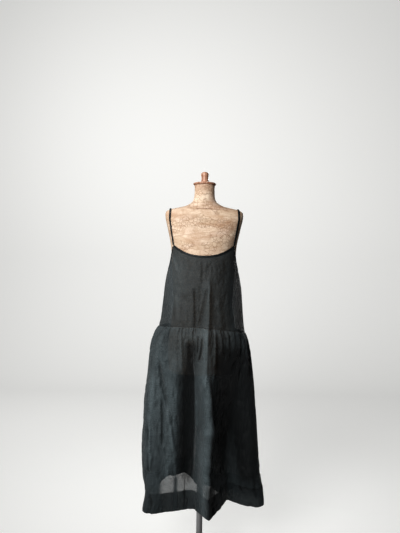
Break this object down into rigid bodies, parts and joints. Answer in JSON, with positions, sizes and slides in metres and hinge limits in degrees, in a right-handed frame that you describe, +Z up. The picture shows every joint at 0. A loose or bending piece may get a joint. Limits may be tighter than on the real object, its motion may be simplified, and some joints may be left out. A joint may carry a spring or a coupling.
{
  "type": "camisole dress on a dress form with stand",
  "caption": "Black semi-sheer camisole dress with thin straps, scoop neck, dropped waist and gathered skirt, hung on a limbless dress form with a round-based stand.",
  "frame": {"origin": "middle of the base's underside, on the floor, under the form's axis", "axes": "+Z up along the pole; the dress's front faces -Y; left and right in names are as seen from the front, left is -X"},
  "size_m": [0.5197, 0.3923, 1.6766],
  "materials": {
    "linen": "black, semi-sheer plain-weave linen, matt",
    "binding": "the same linen cut on the bias and folded to a narrow, dense strip",
    "form_paper": "aged, varnished paper over papier-mache, patched and finely cracked",
    "form_wood": "turned wood, worn reddish brown",
    "stand_steel": "plain steel tube, slightly dulled",
    "stand_iron": "dark cast iron, satin"
  },
  "bodies": {
    "root": {"dress_bodice_front": "linen", "dress_bodice_back": "linen", "dress_skirt_front": "linen", "dress_skirt_back": "linen", "dress_hem_front": "linen", "dress_hem_back": "linen", "dress_neck_binding_front": "binding", "dress_neck_binding_back": "binding", "dress_armhole_binding_left": "binding", "dress_armhole_binding_right": "binding", "dress_strap_left": "binding", "dress_strap_right": "binding", "form_torso": "form_paper", "form_neck_cap": "form_wood", "form_neck_knob": "form_wood", "stand_pole": "stand_steel", "stand_socket": "stand_steel", "stand_collar": "stand_iron", "stand_base": "stand_iron"}
  },
  "joints": []
}
